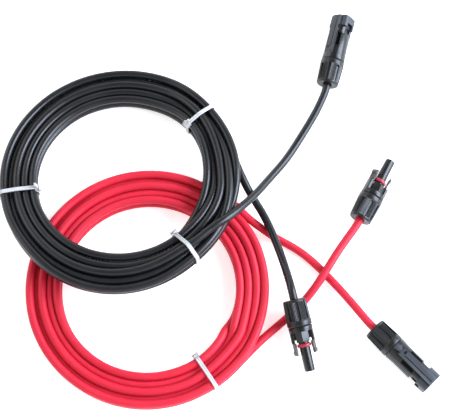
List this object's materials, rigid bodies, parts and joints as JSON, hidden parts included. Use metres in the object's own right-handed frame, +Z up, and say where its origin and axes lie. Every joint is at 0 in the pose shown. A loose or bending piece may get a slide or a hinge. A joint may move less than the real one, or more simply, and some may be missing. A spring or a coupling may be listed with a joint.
{
  "type": "solar cable connector",
  "caption": "Matched pair of coiled and tied solar extension leads, each with a wide plug at one end and a slim latching socket at the other.",
  "frame": {"origin": "on the ground plane, at the centre of the box round the four connectors", "axes": "+Z up from the ground; +Y the way the black plug points, away from the viewer; +X to the right, the coils lying to -X"},
  "size_m": [0.3303, 0.316, 0.0435],
  "materials": {
    "housing_plastic": "satin moulded black",
    "nut_plastic": "satin moulded black",
    "collet_plastic": "matt",
    "seal_rubber": "matt",
    "ring_silicone": "satin",
    "copper_wire": "stranded",
    "spring_steel": "bright",
    "tinned_contact": "tin-plated",
    "black_jacket": "semi-matt",
    "red_jacket": "semi-matt",
    "tie_nylon": "translucent white"
  },
  "bodies": {
    "leads": {"black_wide_housing": "housing_plastic", "black_wide_seal": "seal_rubber", "black_wide_wire": "copper_wire", "black_wide_clip": "spring_steel", "black_wide_pin": "tinned_contact", "red_wide_housing": "housing_plastic", "red_wide_seal": "seal_rubber", "red_wide_wire": "copper_wire", "red_wide_clip": "spring_steel", "red_wide_pin": "tinned_contact", "black_slim_housing": "housing_plastic", "black_slim_seal": "seal_rubber", "black_slim_wire": "copper_wire", "black_slim_clip": "spring_steel", "black_slim_socket": "tinned_contact", "black_slim_oring": "ring_silicone", "red_slim_housing": "housing_plastic", "red_slim_seal": "seal_rubber", "red_slim_wire": "copper_wire", "red_slim_clip": "spring_steel", "red_slim_socket": "tinned_contact", "red_slim_oring": "ring_silicone", "black_coil": "black_jacket", "red_coil": "red_jacket", "black_tail_upper": "black_jacket", "black_tail_lower": "black_jacket", "red_tail_right": "red_jacket", "red_tail_left": "red_jacket", "black_tie_1": "tie_nylon", "black_tie_2": "tie_nylon", "black_tie_3": "tie_nylon", "red_tie_1": "tie_nylon"},
    "black_wide_clamp": {"black_wide_collet": "collet_plastic"},
    "black_wide_gland_nut": {"black_wide_nut": "nut_plastic"},
    "red_wide_clamp": {"red_wide_collet": "collet_plastic"},
    "red_wide_gland_nut": {"red_wide_nut": "nut_plastic"},
    "black_slim_clamp": {"black_slim_collet": "collet_plastic"},
    "black_slim_gland_nut": {"black_slim_nut": "nut_plastic"},
    "black_slim_arm_left": {"black_slim_latch_left": "housing_plastic"},
    "black_slim_arm_right": {"black_slim_latch_right": "housing_plastic"},
    "red_slim_clamp": {"red_slim_collet": "collet_plastic"},
    "red_slim_gland_nut": {"red_slim_nut": "nut_plastic"},
    "red_slim_arm_left": {"red_slim_latch_left": "housing_plastic"},
    "red_slim_arm_right": {"red_slim_latch_right": "housing_plastic"}
  },
  "joints": [
    {"name": "black_wide_nut_slide", "type": "slide", "parent": "leads", "child": "black_wide_clamp", "axis": [-0.2486, -0.9683, -0.0262], "range_m": [0, 0.006]},
    {"name": "black_wide_nut_turn", "type": "hinge", "parent": "black_wide_clamp", "child": "black_wide_gland_nut", "pos_m": [-0.01681, 0.10238, 0.01016], "axis": [-0.2486, -0.9683, -0.0262], "range_deg": [0, 1440]},
    {"name": "red_wide_nut_slide", "type": "slide", "parent": "leads", "child": "red_wide_clamp", "axis": [-0.6934, 0.7206, 0], "range_m": [0, 0.006]},
    {"name": "red_wide_nut_turn", "type": "hinge", "parent": "red_wide_clamp", "child": "red_wide_gland_nut", "pos_m": [0.01753, -0.11101, 0.0098], "axis": [-0.6934, 0.7206, 0], "range_deg": [0, 1440]},
    {"name": "black_slim_nut_slide", "type": "slide", "parent": "leads", "child": "black_slim_clamp", "axis": [-0.2222, 0.94, 0.2588], "range_m": [0, 0.006]},
    {"name": "black_slim_nut_turn", "type": "hinge", "parent": "black_slim_clamp", "child": "black_slim_gland_nut", "pos_m": [-0.04688, -0.0936, 0.01551], "axis": [-0.2222, 0.94, 0.2588], "range_deg": [0, 1440]},
    {"name": "black_slim_arm_left_flex", "type": "hinge", "parent": "leads", "child": "black_slim_arm_left", "pos_m": [-0.03516, -0.11327, 0.01066], "axis": [0.0765, 0.2814, -0.9565], "range_deg": [0, 6], "stiffness_Nm_per_rad": 0.3},
    {"name": "black_slim_arm_right_flex", "type": "hinge", "parent": "leads", "child": "black_slim_arm_right", "pos_m": [-0.04867, -0.11595, 0.00879], "axis": [-0.0765, -0.2814, 0.9565], "range_deg": [0, 6], "stiffness_Nm_per_rad": 0.3},
    {"name": "red_slim_nut_slide", "type": "slide", "parent": "leads", "child": "red_slim_clamp", "axis": [-0.4726, -0.8813, 0], "range_m": [0, 0.006]},
    {"name": "red_slim_nut_turn", "type": "hinge", "parent": "red_slim_clamp", "child": "red_slim_gland_nut", "pos_m": [0.00753, -0.01049, 0.0096], "axis": [-0.4726, -0.8813, 0], "range_deg": [0, 1440]},
    {"name": "red_slim_arm_left_flex", "type": "hinge", "parent": "leads", "child": "red_slim_arm_left", "pos_m": [0.01268, 0.01211, 0.01286], "axis": [-0.4137, 0.2218, -0.8829], "range_deg": [0, 6], "stiffness_Nm_per_rad": 0.3},
    {"name": "red_slim_arm_right_flex", "type": "hinge", "parent": "leads", "child": "red_slim_arm_right", "pos_m": [0.02349, 0.00631, 0.00634], "axis": [0.4137, -0.2218, 0.8829], "range_deg": [0, 6], "stiffness_Nm_per_rad": 0.3}
  ],
  "couplings": [
    {"joint": "black_wide_nut_turn", "follows": "black_wide_nut_slide", "rad_per_m": 4188.8},
    {"joint": "red_wide_nut_turn", "follows": "red_wide_nut_slide", "rad_per_m": 4188.8},
    {"joint": "black_slim_nut_turn", "follows": "black_slim_nut_slide", "rad_per_m": 4188.8},
    {"joint": "red_slim_nut_turn", "follows": "red_slim_nut_slide", "rad_per_m": 4188.8}
  ]
}
